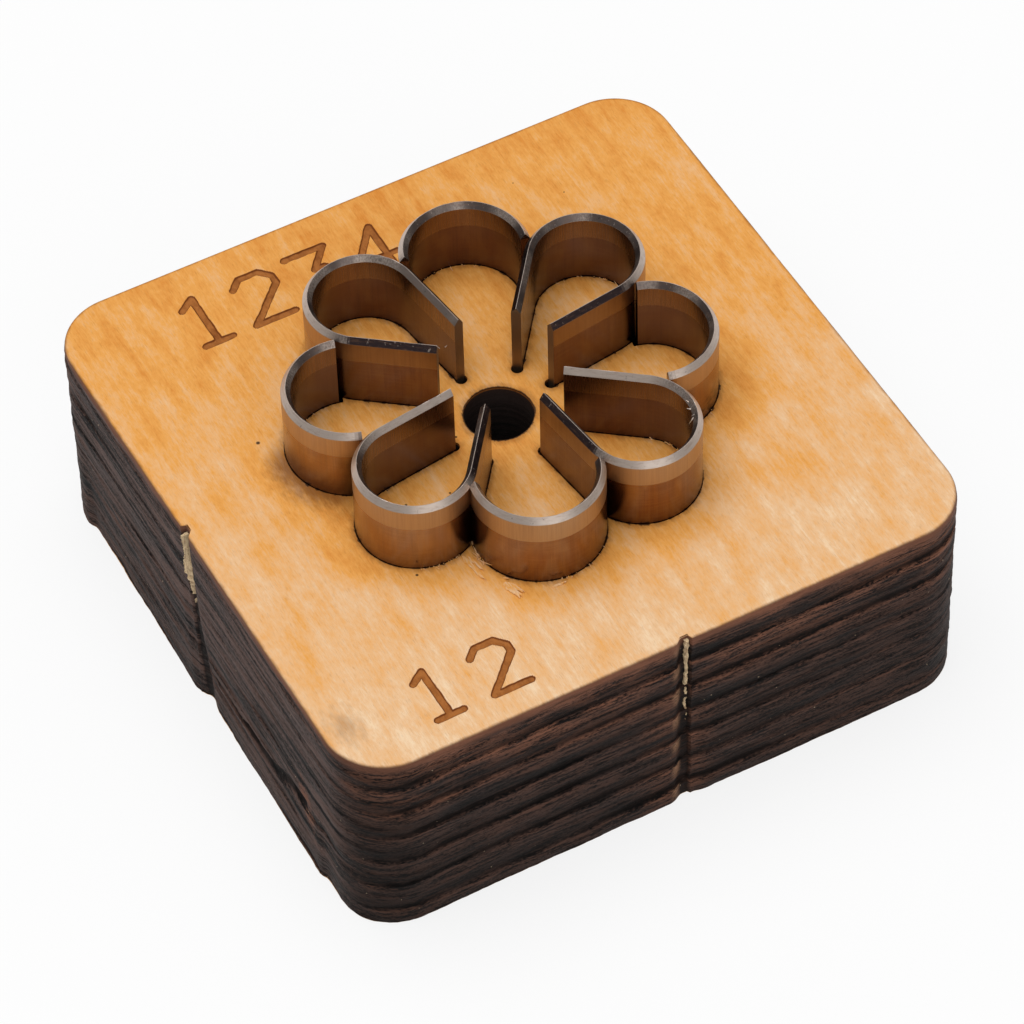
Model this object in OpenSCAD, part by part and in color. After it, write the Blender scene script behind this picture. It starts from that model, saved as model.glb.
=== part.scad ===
// Steel rule die. Eight pieces of bent cutting rule stand on edge in the slots of a plywood
// board, and together they press a flower with eight petals out of a soft sheet.
// The origin is the middle of the board's underside, and the cutting edges point along +Z.

/* [Board] */
// Length of the board along X
board_x = 49.5; // [44:0.1:60]
// Length of the board along Y
board_y = 48.8; // [44:0.1:60]
// Radius of the board's upright corners
corner_r = 4.6; // [2:0.1:8]
// Number of plies glued into the board, an odd number
ply_count = 13; // [11:2:15]
// Thickness of one ply
ply_t = 1.35; // [1.2:0.01:1.5]
// Depth to which every second ply is burnt back from the sides
burn_back = 0.15; // [0.05:0.01:0.4]

/* [Push-out hole] */
// Radius of the hole
hole_r = 2.55; // [1.5:0.05:3.2]
// Place of the hole along X
hole_x = -0.25; // [-0.6:0.05:0.6]
// Place of the hole along Y
hole_y = 0.35; // [-0.6:0.05:0.6]

/* [Break-off nicks] */
// Radius of the upright groove left where a holding tab was broken off
nick_r = 0.9; // [0.5:0.05:1.5]
// Depth of that groove in the side
nick_depth = 0.4; // [0.2:0.05:0.8]
// Distance of the front nick from the middle of its side
nick_slip_x = 1.1; // [-4:0.1:4]
// Distance of the left nick from the middle of its side
nick_slip_y = 1.2; // [-4:0.05:4]

/* [Cutting rule] */
// Thickness of the rule
rule_t = 0.71; // [0.45:0.01:1.05]
// Height of the rule from its back to its cutting edge
rule_h = 23.8; // [22:0.1:26]
// Height of the bevel on each face below the cutting edge
bevel_h = 0.45; // [0.3:0.05:1]
// Width of the fine flat left along the cutting edge
edge_land = 0.04; // [0.01:0.01:0.1]

/* [Flower] */
// Place of the flower's middle along X
flower_x = -0.1; // [-1:0.05:1]
// Place of the flower's middle along Y
flower_y = 0.1; // [-1:0.05:1]
// Turn of the first loop from +X, in degrees
flower_turn = 29.8; // [0:0.1:90]
// Distance of a loop's bend centre from the flower's middle
loop_centre_r = 11.43; // [10.5:0.05:12.5]
// Distance of an arc's bend centre from the flower's middle
arc_centre_r = 10.95; // [10.2:0.05:11.8]
// Bend radius of an arc, at half the rule's thickness
arc_r = 4.45; // [4:0.05:5]
// Distance of the legs' tips from the flower's middle
leg_tip_r = 4.6; // [4.2:0.05:7]

/* [Fits] */
// Clearance between a rule's face and the wall of its slot
kerf_gap = 0.05; // [0.02:0.01:0.12]
// Gap between the end of an arc and the face of the loop that it butts against
butt_gap = 0.1; // [0.05:0.01:0.3]
// Distance that a slot runs on past the tip of a leg
slot_overrun = 0.05; // [0.02:0.01:0.6]
// Extra radius of the burnt round end of a slot
slot_end_swell = 0.05; // [0.02:0.01:0.15]
// Amount by which the bends of the rule swell over its straight legs
bend_swell = 0.005; // [0.002:0.001:0.02]
// Width of the bridge of wood left under the crown of an arc
bridge_w = 3.5; // [2:0.1:4.5]
// Height of that bridge from the board's underside
bridge_h = 10.8; // [5:0.1:13]
// Clearance between a bridge and the notch in the rule over it
bridge_gap = 0.15; // [0.05:0.05:0.3]

/* [Hidden] */
$fn = 96;
// Length by which a cut runs past the face that it opens
past = 1;
// Length by which a straight leg is rooted in its bend
leg_root = 0.05;
// A loop and an arc take turns round the flower
pair_count = 4;
pair_step = 360 / pair_count;
half_petal = pair_step / 4;
board_t = ply_count * ply_t;
// The outer face of each leg lies on the line between two petals
loop_r = loop_centre_r * sin(half_petal) - rule_t / 2;
loop_half_bend = 90 + half_petal;
leg_start = loop_centre_r * cos(half_petal);
leg_end = sqrt(leg_tip_r * leg_tip_r - rule_t * rule_t / 4);
leg_len = leg_start - leg_end;
slot_w = rule_t + 2 * kerf_gap;

// Angle, seen from an arc's bend centre, at which its outer edge comes to the loop's face
function arc_half_bend() =
    let (to_loop_x = loop_centre_r * cos(2 * half_petal) - arc_centre_r,
         to_loop_y = loop_centre_r * sin(2 * half_petal),
         span = sqrt(to_loop_x * to_loop_x + to_loop_y * to_loop_y),
         reach = arc_r + rule_t / 2,
         keep_off = loop_r + rule_t / 2 + butt_gap)
    atan2(to_loop_y, to_loop_x)
    - acos((reach * reach + span * span - keep_off * keep_off) / (2 * reach * span));

arc_end = arc_half_bend();
// The slot of an arc runs on until it opens into the slot of the loop
arc_slot_end = arc_end + (butt_gap + rule_t / 2) / arc_r * 180 / PI;

// Section of the rule: its back at the bottom, a bevel on both faces, the edge on top.
// A straight leg is slimmer than a bend by the swell.
module rule_section(swell = bend_swell) {
    slim = bend_swell - swell;
    half_t = rule_t / 2 - slim;
    edge_z = rule_h - slim;
    polygon([[-half_t, 0],
             [half_t, 0],
             [half_t, edge_z - bevel_h],
             [edge_land / 2, edge_z],
             [-edge_land / 2, edge_z],
             [-half_t, edge_z - bevel_h]]);
}

// Section of the slot, open through the board
module slot_section(swell = bend_swell) {
    width = slot_w - 2 * (bend_swell - swell);
    translate([-width / 2, -past])
        square([width, board_t + 2 * past]);
}

// A section bent to a radius, through an angle to both sides of +X
module bend(radius, half_angle) {
    rotate(-half_angle)
        rotate_extrude(angle = 2 * half_angle)
            translate([radius, 0])
                children();
}

// A section led straight back, along -Y
module lead(length) {
    rotate([90, 0, 0])
        linear_extrude(length)
            children();
}

// Places its children at one petal: loops sit at whole places, arcs half a step on
module at_petal(place) {
    translate([flower_x, flower_y, 0])
        rotate(flower_turn + place * pair_step)
            children();
}

// Frame of a loop's bend, turned so that the bend starts on +X
module at_loop_bend() {
    translate([loop_centre_r, 0, 0])
        rotate(-loop_half_bend)
            children();
}

// Places its children on both legs, at a distance from the bend towards the flower's middle
module on_legs(distance) {
    translate([loop_r, -distance, 0])
        children();
    rotate(2 * loop_half_bend)
        translate([loop_r, distance, 0])
            mirror([0, 1, 0])
                children();
}

// A bend, given first, with two legs, given second, that run on towards the flower's middle
module loop_form(length) {
    at_loop_bend() {
        rotate_extrude(angle = 2 * loop_half_bend)
            translate([loop_r, 0])
                children(0);
        on_legs(-leg_root)
            lead(length + leg_root)
                children(1);
    }
}

// The crown of an arc up to a height, as wide as the bridge plus a gap on each side
module arc_crown(gap) {
    translate([arc_centre_r + arc_r - slot_w, -bridge_w / 2 - gap, -past])
        cube([2 * slot_w, bridge_w + 2 * gap, bridge_h + gap + past]);
}

module loop_slot() {
    loop_form(leg_len + slot_overrun) {
        slot_section();
        slot_section(0);
    }
    at_loop_bend()
        on_legs(leg_len + slot_overrun)
            translate([0, 0, -past])
                cylinder(h = board_t + 2 * past, r = slot_w / 2 + slot_end_swell);
}

module arc_slot() {
    difference() {
        translate([arc_centre_r, 0, 0])
            bend(arc_r, arc_slot_end)
                slot_section();
        arc_crown(0);
    }
}

// The board's outline, set back from the sides by an inset
module board_plate(inset, thickness) {
    core_x = board_x - 2 * corner_r;
    core_y = board_y - 2 * corner_r;
    linear_extrude(thickness) {
        square([core_x, board_y - 2 * inset], center = true);
        square([board_x - 2 * inset, core_y], center = true);
        for (sx = [-1, 1], sy = [-1, 1])
            translate([sx * core_x / 2, sy * core_y / 2])
                circle(corner_r - inset);
    }
}

// The grooves near the middle of the front and left sides
module nick_pair() {
    set_out = nick_r - nick_depth;
    for (place = [[nick_slip_x, -board_y / 2 - set_out], [-board_x / 2 - set_out, nick_slip_y]])
        translate([place[0], place[1], -past])
            cylinder(h = board_t + 2 * past, r = nick_r);
}

module die_board() {
    color("peru")
        difference() {
            union() {
                board_plate(burn_back, board_t);
                for (ply = [0 : 2 : ply_count - 1])
                    translate([0, 0, ply * ply_t])
                        board_plate(0, ply_t);
            }
            for (place = [0 : pair_count - 1]) {
                at_petal(place)
                    loop_slot();
                at_petal(place + 0.5)
                    arc_slot();
            }
            translate([hole_x, hole_y, -past])
                cylinder(h = board_t + 2 * past, r = hole_r);
            nick_pair();
        }
}

module loop_rule(place) {
    color("dimgray")
        at_petal(place)
            loop_form(leg_len) {
                rule_section();
                rule_section(0);
            }
}

module arc_rule(place) {
    color("slategray")
        at_petal(place + 0.5)
            difference() {
                translate([arc_centre_r, 0, 0])
                    bend(arc_r, arc_end)
                        rule_section();
                arc_crown(bridge_gap);
            }
}

die_board();
for (place = [0 : pair_count - 1]) {
    loop_rule(place);
    arc_rule(place);
}
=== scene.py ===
"""Steel rule die: the finish of its plywood board and of the eight cutting rules that stand in it."""

import math
import random
from functools import reduce

import bmesh
import bpy
from bpy.props import FloatProperty, FloatVectorProperty, IntProperty, PointerProperty
from mathutils import Color, Matrix, Vector, noise


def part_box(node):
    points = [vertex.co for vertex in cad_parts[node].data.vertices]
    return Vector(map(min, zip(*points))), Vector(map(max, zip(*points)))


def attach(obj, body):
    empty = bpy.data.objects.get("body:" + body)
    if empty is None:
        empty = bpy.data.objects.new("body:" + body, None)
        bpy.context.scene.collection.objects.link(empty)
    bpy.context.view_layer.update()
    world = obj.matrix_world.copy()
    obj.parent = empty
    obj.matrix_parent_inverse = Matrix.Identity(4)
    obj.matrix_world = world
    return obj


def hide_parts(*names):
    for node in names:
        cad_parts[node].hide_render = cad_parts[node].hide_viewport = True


bl_info = {
    "name": "Steel Rule Die",
    "version": (1, 0, 0),
    "blender": (4, 5, 0),
    "location": "View3D > Sidebar > Die",
    "description": "Models the finish of a small steel rule die with a flower outline",
    "category": "Add Mesh",
}

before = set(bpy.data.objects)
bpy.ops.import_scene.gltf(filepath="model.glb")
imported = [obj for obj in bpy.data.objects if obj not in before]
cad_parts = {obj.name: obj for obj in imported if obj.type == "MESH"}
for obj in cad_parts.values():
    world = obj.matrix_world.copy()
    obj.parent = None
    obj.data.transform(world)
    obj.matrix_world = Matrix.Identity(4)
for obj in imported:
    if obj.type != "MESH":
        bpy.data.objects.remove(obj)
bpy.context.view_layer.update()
BOARD_LOW, BOARD_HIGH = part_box("die_board")
RULE_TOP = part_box("loop_rule_1")[1].z
BOARD_TOP = BOARD_HIGH.z
HALF_X = (BOARD_HIGH.x - BOARD_LOW.x) / 2
HALF_Y = (BOARD_HIGH.y - BOARD_LOW.y) / 2

MM = 0.001
PAIRS = 4
PAIR_STEP = math.tau / PAIRS
HALF_PETAL = PAIR_STEP / 4


# Settings

def length_setting(name, description, size):
    """A setting for a length, given in millimetres"""
    return FloatProperty(name=name, description=description, default=size * MM, unit="LENGTH")


def angle_setting(name, description, degrees):
    """A setting for an angle, given in degrees"""
    return FloatProperty(
        name=name, description=description, default=math.radians(degrees), subtype="ANGLE")


def place_setting(name, description, x, y):
    """A setting for a place in a plane, given in millimetres"""
    return FloatVectorProperty(
        name=name, description=description, size=2, default=(x * MM, y * MM),
        subtype="TRANSLATION", unit="LENGTH")


def colour_setting(name, description, *shade):
    """A setting for a colour"""
    return FloatVectorProperty(
        name=name, description=description, size=3, default=shade, subtype="COLOR_GAMMA",
        min=0, max=1)


class FlowerSettings(bpy.types.PropertyGroup):
    """Sizes of the cutting outline, as in the frame but for a finer butt gap"""
    middle: place_setting("Middle", "Place of the flower's middle on the board", -0.1, 0.1)
    turn: angle_setting("Turn", "Turn of the first loop from +X", 29.8)
    loop_centre: length_setting(
        "Loop centre", "Distance of a loop's bend centre from the middle", 11.43)
    arc_centre: length_setting(
        "Arc centre", "Distance of an arc's bend centre from the middle", 10.95)
    arc_radius: length_setting(
        "Arc radius", "Bend radius of an arc at half the rule's thickness", 4.45)
    tip: length_setting("Leg tips", "Distance of the legs' tips from the middle", 4.6)
    butt_gap: length_setting(
        "Butt gap", "Gap between the end of an arc and the loop beside it", 0.02)


class RuleSettings(bpy.types.PropertyGroup):
    """Sizes and colours of the cutting rule"""
    thickness: length_setting("Thickness", "Thickness of the rule", 0.71)
    bevel: length_setting("Bevel", "Height of the ground bevel on each face", 0.45)
    land: length_setting("Land", "Width of the fine flat along the cutting edge", 0.04)
    band: length_setting("Band", "Height of the hardened band below the cutting edge", 2.15)
    notch_width: length_setting(
        "Notch width", "Width of the notch in an arc's back, over its bridge", 3.8)
    notch_height: length_setting("Notch height", "Height of the notch in an arc's back", 10.95)
    steel: colour_setting("Steel", "Colour of the rule's body", 0.548, 0.412, 0.325)
    hardened: colour_setting("Hardened band", "Colour of the hardened band", 0.715, 0.61, 0.485)
    ground: colour_setting("Ground bevel", "Colour of the ground bevel", 0.775, 0.715, 0.67)
    # Also the colour of the painted shade in the crease where an arc butts against a loop, besides a
    # stain and dark specks
    shade_and_soot: colour_setting("Soot", "Colour of the stains where two rules meet", 0.06, 0.05, 0.05)
    # Painted shade: the darker, blue-grey reflection of the faces that look inwards
    painted_inward_shade: colour_setting(
        "Temper", "Blue-grey cast of the faces that look inwards", 0.225, 0.21, 0.33)
    # A dark tone of the brushed steel, also the colour of the painted dark reflection on the bevels and
    # of the painted shade at the rules' feet
    blued_and_painted_shade: colour_setting(
        "Blued bevel", "Colour of a bevel that kept its dark scale", 0.235, 0.195, 0.20)


class BoardSettings(bpy.types.PropertyGroup):
    """Sizes and colours of the plywood board"""
    corner: length_setting("Corner radius", "Radius of the upright corners", 4.6)
    plies: IntProperty(
        name="Plies", description="Number of plies glued into the board", default=13, min=3)
    recess: length_setting("Ply recess", "Depth to which the softer plies are burnt back", 0.24)
    hole: length_setting("Hole radius", "Radius of the push-out hole", 2.55)
    hole_place: place_setting("Hole place", "Place of the push-out hole on the board", -0.25, 0.35)
    nick_x: length_setting(
        "Front nick", "Distance of the front nick from the middle of its side", 1.1)
    nick_y: length_setting(
        "Left nick", "Distance of the left nick from the middle of its side", 1.2)
    amber: colour_setting("Amber", "Deep tone of the varnished veneer", 0.845, 0.54, 0.225)
    honey: colour_setting("Honey", "Middle tone of the varnished veneer", 0.905, 0.64, 0.325)
    pale: colour_setting("Pale", "Light tone of the varnished veneer", 0.91, 0.74, 0.56)
    cream: colour_setting("Cream", "Tone of the small bright flecks in the veneer", 0.95, 0.84, 0.70)
    scorch: colour_setting("Scorch", "Brown of wood that is only singed", 0.44, 0.23, 0.09)
    copper: colour_setting(
        "Copper", "Brown sheen on the ridges of the burnt plies", 0.49, 0.325, 0.25)
    umber: colour_setting("Umber", "Dark brown of the burnt plies", 0.222, 0.184, 0.172)
    char: colour_setting("Char", "Black-brown of burnt wood", 0.14, 0.11, 0.10)
    ash: colour_setting("Ash", "Grey-brown of burnt end grain", 0.375, 0.32, 0.305)
    soot: colour_setting(
        "Soot", "Black of the plies that are burnt back furthest", 0.045, 0.036, 0.033)
    groove: colour_setting("Groove", "Brown of the bottom of an engraved stroke", 0.66, 0.41, 0.20)
    raw: colour_setting("Raw wood", "Cream of freshly broken wood", 0.86, 0.76, 0.60)


class StageSettings(bpy.types.PropertyGroup):
    """Camera, floor and light"""
    azimuth: angle_setting("Azimuth", "Turn of the camera about the board", -27.385)
    elevation: angle_setting("Elevation", "Height of the camera over the board", 49.447)
    roll: angle_setting("Roll", "Turn of the picture about the line of sight", -1.778)
    distance: length_setting("Distance", "Distance of the camera from the board's top", 391.8)
    offset: place_setting(
        "Offset", "Place of the board's middle in the camera's plane", -0.548, 6.872)
    lens: FloatProperty(
        name="Lens", description="Focal length in millimetres on a 36 mm sensor", default=193.62)
    floor: colour_setting("Floor", "Colour of the floor", 0.95, 0.95, 0.95)


def settings():
    """The four groups of settings of the scene"""
    scene = bpy.context.scene
    return scene.die_flower, scene.die_rule, scene.die_board, scene.die_stage


def linear(tone):
    """A colour setting as the shader reads it"""
    return (*Color(tone[:3]).from_srgb_to_scene_linear(), 1.0)


# Shader maths

# Slope that keeps a distance large where a bend has ended
OFF_BEND = 9.0
CLOUD_MIDDLE = 0.5


class Wire:
    """A shader socket that takes part in Python expressions, in which each step is a Math node"""

    def __init__(self, finish, socket):
        self.finish = finish
        self.socket = socket

    def math(self, operation, *others):
        return self.finish.math(operation, self, *others)

    def __add__(self, other):
        return self.math("ADD", other)

    def __sub__(self, other):
        return self.math("SUBTRACT", other)

    def __rsub__(self, other):
        return self.finish.math("SUBTRACT", other, self)

    def __mul__(self, other):
        return self.math("MULTIPLY", other)

    def __truediv__(self, other):
        return self.math("DIVIDE", other)

    def __abs__(self):
        return self.math("ABSOLUTE")

    __radd__ = __add__
    __rmul__ = __mul__

    def at_least(self, other):
        return self.math("MAXIMUM", other)

    def at_most(self, other):
        return self.math("MINIMUM", other)

    def hypot(self, other):
        """The long side of a right triangle over the two"""
        return (self * self + other * other).math("SQRT")

    def swing(self, amount):
        """A cloud's swing to both sides of its middle value"""
        return (self - CLOUD_MIDDLE) * amount

    def ease(self, low, high, start=0.0, end=1.0):
        """Rises smoothly from start to end as the value goes from low to high"""
        return self.finish.add(
            "ShaderNodeMapRange", {"interpolation_type": "SMOOTHSTEP"},
            {"Value": self, "From Min": low, "From Max": high, "To Min": start, "To Max": end})


class Finish:
    """A material whose nodes are written as expressions"""

    def __init__(self, name):
        self.material = bpy.data.materials.new(name)
        self.material.use_nodes = True
        self.tree = self.material.node_tree
        self.shader = self.tree.nodes["Principled BSDF"]
        place = self.add("ShaderNodeTexCoord", output="Object")
        place = self.add("ShaderNodeVectorMath", {"operation": "SCALE"}, {0: place, "Scale": 1 / MM})
        self.x, self.y, self.z = (self.add("ShaderNodeSeparateXYZ", {}, {0: place}, axis)
                                  for axis in "XYZ")

    def feed(self, socket, value):
        if isinstance(value, Wire):
            self.tree.links.new(value.socket, socket)
        else:
            socket.default_value = value

    def add(self, kind, values=None, inputs=None, output=0):
        """Adds one node: its settings first, then the values or links of its sockets"""
        made = self.tree.nodes.new(kind)
        for key, value in (values or {}).items():
            if key == "stops":
                self.set_stops(made.color_ramp, value)
            else:
                setattr(made, key, value)
        for key, value in (inputs or {}).items():
            self.feed(made.inputs[key], value)
        return Wire(self, made.outputs[output])

    @staticmethod
    def set_stops(ramp, stops):
        while len(ramp.elements) < len(stops):
            ramp.elements.new(1.0)
        for element, (position, tone) in zip(ramp.elements, stops):
            element.position = position
            element.color = linear(tone)

    def math(self, operation, *values):
        return self.add("ShaderNodeMath", {"operation": operation}, dict(enumerate(values)))

    def cloud(self, across_x, across_y, across_z, shift=0.0, detail=2.0, rough=0.5):
        """Soft noise, with its own number of features per millimetre each way"""
        place = self.add("ShaderNodeCombineXYZ", {}, {
            "X": self.x * across_x + shift, "Y": self.y * across_y, "Z": self.z * across_z})
        return self.add("ShaderNodeTexNoise", {},
                        {"Vector": place, "Scale": 1.0, "Detail": detail, "Roughness": rough})

    def mix(self, share, first, second):
        """Mixes two colours, each of them a wire or a colour setting"""
        first, second = (tone if isinstance(tone, Wire) else linear(tone) for tone in (first, second))
        return self.add("ShaderNodeMix", {"data_type": "RGBA"}, {0: share, 6: first, 7: second}, 2)

    def layer(self, base, *coats):
        """Lays coats over a base colour one after another, each of them a share and a colour"""
        for share, tone in coats:
            base = self.mix(share, base, tone)
        return base

    def bump(self, height, strength, distance):
        return self.add("ShaderNodeBump", {},
                        {"Height": height, "Strength": strength, "Distance": distance}, "Normal")

    def set(self, **inputs):
        names = {name.lower().replace(" ", "_"): name for name in self.shader.inputs.keys()}
        for key, value in inputs.items():
            self.feed(self.shader.inputs[names[key]], value)
        return self.material


def folded_place(finish):
    """Place in millimetres within one eighth of the flower, from a loop's axis towards an arc's"""
    flower, _, _, _ = settings()
    u = finish.x - flower.middle[0] / MM
    v = finish.y - flower.middle[1] / MM
    reach = u.hypot(v)
    angle = (v.math("ARCTAN2", u) - flower.turn).math("PINGPONG", PAIR_STEP / 2)
    return reach * angle.math("COSINE"), reach * angle.math("SINE")


def flower_distance(finish):
    """Distance in millimetres from the middle line of the nearest rule, over the board's top"""
    flower, rule, _, _ = settings()
    p, q = folded_place(finish)
    cos_half, sin_half = math.cos(HALF_PETAL), math.sin(HALF_PETAL)
    along = p * cos_half + q * sin_half
    aside = q * cos_half - p * sin_half + rule.thickness / 2 / MM
    leg_start = flower.loop_centre * cos_half / MM
    leg_end = leg_tip() / MM
    beyond = (leg_end - along).at_least(along - leg_start).at_least(0.0)
    leg = aside.hypot(beyond)
    bend = abs((p - flower.loop_centre / MM).hypot(q) - loop_radius() / MM)
    bend = bend + (leg_start - along).at_least(0.0) * OFF_BEND
    cos_arc, sin_arc = math.cos(2 * HALF_PETAL), math.sin(2 * HALF_PETAL)
    arc_u = p * cos_arc + q * sin_arc - flower.arc_centre / MM
    arc_v = q * cos_arc - p * sin_arc
    arc = abs(arc_u.hypot(arc_v) - flower.arc_radius / MM)
    arc = arc + (0.0 - arc_u).at_least(0.0) * OFF_BEND
    return leg.at_most(bend).at_most(arc)


def joint_distance(finish):
    """Distance in millimetres from the line where an arc butts against a loop"""
    flower, _, _, _ = settings()
    p, q = folded_place(finish)
    end = (direction(2 * HALF_PETAL) * flower.arc_centre
           + direction(2 * HALF_PETAL - arc_half_bend()) * flower.arc_radius) / MM
    return (p - end.x).hypot(q - end.y)


def edge_distance(finish):
    """Distance in millimetres inwards from the board's outline"""
    _, _, board, _ = settings()
    corner = board.corner / MM
    qx = abs(finish.x) - (HALF_X / MM - corner)
    qy = abs(finish.y) - (HALF_Y / MM - corner)
    past_core = qx.at_least(0.0).hypot(qy.at_least(0.0))
    return corner - past_core - qx.at_least(qy).at_most(0.0)


# Finishes

# Share of plain white in the floor as the camera and the steel see it
FLOOR_WHITE = 0.8
# Places on the board, in millimetres: a stain on a rule, the most smoked slot, a smudge by the outline
STAIN = (12.9, -6.8)
SMOKED = (-15.3, 1.3)
SMUDGE = (-22.9, -19.4)
SMUDGE_STRETCH = 1.5
# The patch of painted copper sheen on the left side: its middle, in millimetres, and its slant
SHEEN_PATCH_Y = -16.15
SHEEN_PATCH_DEPTH = 11.5
SHEEN_PATCH_SLANT = 0.3
# Distance of the painted highlight on the front nick's rounded flank from the middle of the nick, in
# millimetres
FLANK_HIGHLIGHT_OFF = 0.85
# Knots no bigger than a pinhead: place on the board and radius, in millimetres
PIN_KNOTS = ((-16.42, 6.38, 0.15), (-3.96, -0.09, 0.10), (-12.37, -9.98, 0.11), (-10.02, -3.94, 0.09),
             (-6.81, -4.5, 0.09), (14.38, 17.11, 0.06), (11.56, 19.79, 0.05))


def spot_distance(finish, x, y, long_y=1.0):
    """Distance in millimetres from an upright line, shortened along Y for long spots"""
    return (finish.x - x).hypot((finish.y - y) / long_y)


def veneer_tone(finish, from_rule):
    """Varnished birch: pale and amber streaks, short bright flecks, fine pores and pin knots, with a
    painted sheen towards the front and painted shade near the rules
    """
    _, _, board, _ = settings()
    y = finish.y
    drift = finish.cloud(0.15, 0.08, 0.0, 7.0, detail=3.0, rough=0.6)
    blotch = finish.cloud(0.60, 0.24, 0.0, 57.0, detail=4.0, rough=0.6)
    streak = finish.cloud(2.8, 0.12, 0.0, 31.0, detail=3.0, rough=0.6)
    fleck = finish.cloud(8.0, 1.6, 0.0, 3.0, detail=4.0, rough=0.75)
    mottle = finish.cloud(1.9, 1.2, 0.0, 43.0, detail=3.0, rough=0.6)
    pores = finish.cloud(13.0, 1.3, 0.0, 13.0, detail=2.0)
    # Painted shade: the veneer turns darker and more amber near the rules, most towards the front
    painted_shade_near_rules = from_rule.ease(0.3, 4.5, 0.22, 0.0) * y.ease(-6.0, 8.0, 1.0, 0.15)
    # Paler towards the front, a painted sheen of the varnish, and a little paler towards the left
    paleness = (0.50 - y * 0.0085 - finish.x * 0.0015 + drift.swing(0.5) + blotch.swing(0.85)
                + streak.swing(0.42) + fleck.swing(0.50) + mottle.swing(0.25)) - painted_shade_near_rules
    birch = ((0.10, board.amber), (0.38, board.honey), (0.74, board.pale), (1.0, board.cream))
    tone = finish.add("ShaderNodeValToRGB", {"stops": birch}, {0: paleness})
    radii_off = reduce(Wire.at_most, (spot_distance(finish, knot_x, knot_y) / radius
                                      for knot_x, knot_y, radius in PIN_KNOTS))
    tone = finish.layer(tone, (pores.ease(0.54, 0.80, 0.0, 0.22), board.scorch),
                        (radii_off.ease(0.6, 1.3, 0.9, 0.0), board.char))
    return tone, fleck


def top_tone(finish, depth, from_edge, by_edge):
    """The varnished face: singed along the cuts and the outline, brown in the engraved strokes"""
    _, rule, board, _ = settings()
    from_rule = flower_distance(finish) - rule.thickness / 2 / MM
    veneer, fleck = veneer_tone(finish, from_rule)
    ragged = finish.cloud(2.4, 0.9, 1.0, detail=4.0, rough=0.6)
    chipped = finish.cloud(1.7, 1.2, 0.0, 19.0, detail=3.0, rough=0.65)
    hole_x, hole_y = board.hole_place
    from_hole = spot_distance(finish, hole_x / MM, hole_y / MM) - board.hole / MM
    from_cut = (from_rule + finish.z.ease(1.0, 2.0, 9.0, 0.0)).at_most(from_hole)
    smoked = spot_distance(finish, *SMOKED).ease(2.4, 5.0, 1.0, 0.0)
    smoked = smoked * (from_cut - ragged.swing(2.2)).ease(0.2, 2.4, 0.75, 0.0)
    singe = (from_cut - ragged.swing(1.0)).ease(0.0, 0.60, 0.45, 0.0).at_least(smoked)
    singe = singe.at_least((from_edge - ragged.swing(0.25)).ease(0.08, 0.30, 0.55, 0.0))
    chip = chipped.ease(0.50, 0.75, 0.0, 0.14) + ragged.swing(0.2)
    burnt_line = (from_cut - chip).ease(0.02, 0.10, 0.9, 0.0) * ragged.ease(0.30, 0.55, 0.5, 1.0)
    burnt_line = burnt_line.at_least((from_edge - ragged.swing(0.1)).ease(0.05, 0.14, 0.5, 0.0))
    smudge = spot_distance(finish, *SMUDGE, SMUDGE_STRETCH) - ragged.swing(2.5)
    groove = depth.ease(0.004, 0.03) * finish.z.ease(1.0, 2.0) * (1.0 - by_edge)
    engraved = finish.layer(
        board.scorch,
        ((depth + ragged.swing(0.10)).ease(0.07, 0.13), board.groove),
        (chipped.ease(0.42, 0.62, 0.0, 0.35), board.scorch))
    top = finish.layer(
        veneer,
        (smudge.ease(0.0, 1.6, 0.30, 0.0), board.ash),
        (singe, board.scorch),
        (burnt_line, board.char),
        (groove, engraved))
    return top, groove, fleck


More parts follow.
